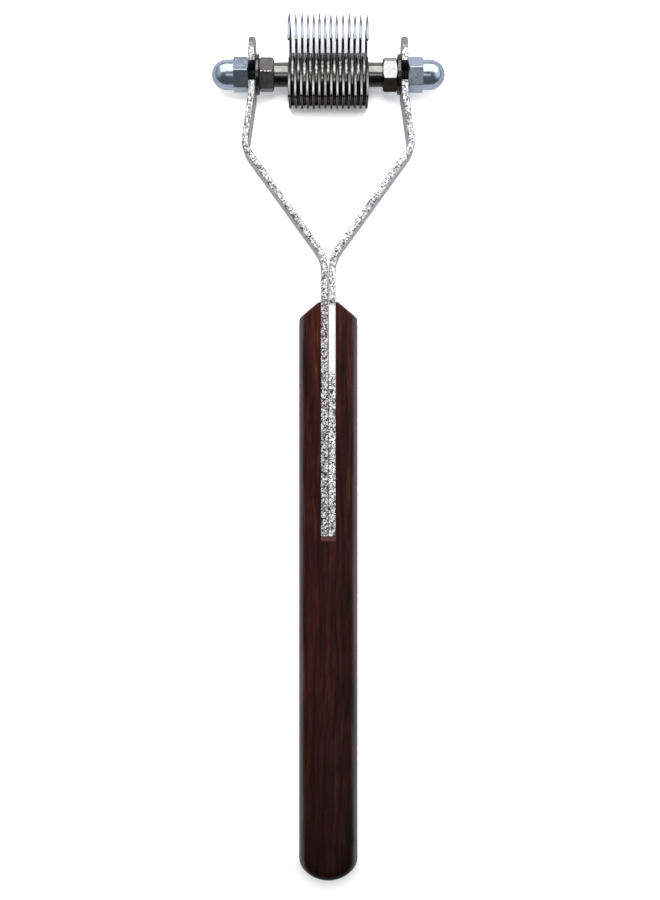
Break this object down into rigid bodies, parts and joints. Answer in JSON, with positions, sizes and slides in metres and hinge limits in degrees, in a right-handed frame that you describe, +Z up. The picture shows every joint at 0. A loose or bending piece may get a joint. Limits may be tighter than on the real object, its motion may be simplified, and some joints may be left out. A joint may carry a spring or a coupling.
{
  "type": "bladed curry comb",
  "caption": "Grooming comb: a pack of hooked blades with spacers on a threaded axle, clamped between two bent flat steel arms that run into a slotted wooden handle.",
  "frame": {"origin": "centre of the tool's footprint, on the plane of the handle's flat back", "axes": "+Y from the handle to the blades, +X along the axle to the right cap nut, +Z up, the way the hooks curl"},
  "size_m": [0.0518, 0.1916, 0.0199],
  "materials": {
    "handle_wood": "very dark red-brown hardwood, fine long grain, oiled satin",
    "filler_wood": "lighter brown filler, matt",
    "strip_steel": "galvanised, dressed edges with a coarse sparkle",
    "cap_nut_zinc": "bright bluish zinc plate",
    "dark_steel": "oiled dark steel, semi-gloss",
    "bush_steel": "turned steel, polished",
    "rod_steel": "oiled thread",
    "blade_steel": "polished steel with bright edges",
    "spacer_steel": "turned steel",
    "pin_brass": "dressed flush, satin"
  },
  "bodies": {
    "handle_frame": {"handle": "handle_wood", "left_arm": "strip_steel", "right_arm": "strip_steel", "slot_filler": "filler_wood", "front_handle_pin": "pin_brass", "rear_handle_pin": "pin_brass"},
    "axle_washers": {"left_washer": "dark_steel", "right_washer": "dark_steel"},
    "blade_cartridge": {"axle": "rod_steel", "left_lock_nut": "dark_steel", "right_lock_nut": "dark_steel", "left_bush": "bush_steel", "right_bush": "bush_steel", "blade_01": "blade_steel", "blade_02": "blade_steel", "blade_03": "blade_steel", "blade_04": "blade_steel", "blade_05": "blade_steel", "blade_06": "blade_steel", "blade_07": "blade_steel", "blade_08": "blade_steel", "blade_09": "blade_steel", "blade_10": "blade_steel", "blade_11": "blade_steel", "blade_12": "blade_steel", "blade_13": "blade_steel", "blade_14": "blade_steel", "spacer_01": "spacer_steel", "spacer_02": "spacer_steel", "spacer_03": "spacer_steel", "spacer_04": "spacer_steel", "spacer_05": "spacer_steel", "spacer_06": "spacer_steel", "spacer_07": "spacer_steel", "spacer_08": "spacer_steel", "spacer_09": "spacer_steel", "spacer_10": "spacer_steel", "spacer_11": "spacer_steel", "spacer_12": "spacer_steel", "spacer_13": "spacer_steel"},
    "left_cap_nut": {"left_cap_nut": "cap_nut_zinc"},
    "right_cap_nut": {"right_cap_nut": "cap_nut_zinc"}
  },
  "joints": [
    {"name": "cartridge_lift", "type": "slide", "parent": "handle_frame", "child": "axle_washers", "axis": [0, 0, 1], "range_m": [0, 0.012]},
    {"name": "cartridge_turn", "type": "hinge", "parent": "axle_washers", "child": "blade_cartridge", "pos_m": [0, 0.08262, 0.01], "axis": [1, 0, 0], "continuous": true},
    {"name": "left_cap_nut_off", "type": "slide", "parent": "blade_cartridge", "child": "left_cap_nut", "axis": [-1, 0, 0], "range_m": [0, 0.005]},
    {"name": "right_cap_nut_off", "type": "slide", "parent": "blade_cartridge", "child": "right_cap_nut", "axis": [1, 0, 0], "range_m": [0, 0.005]}
  ]
}
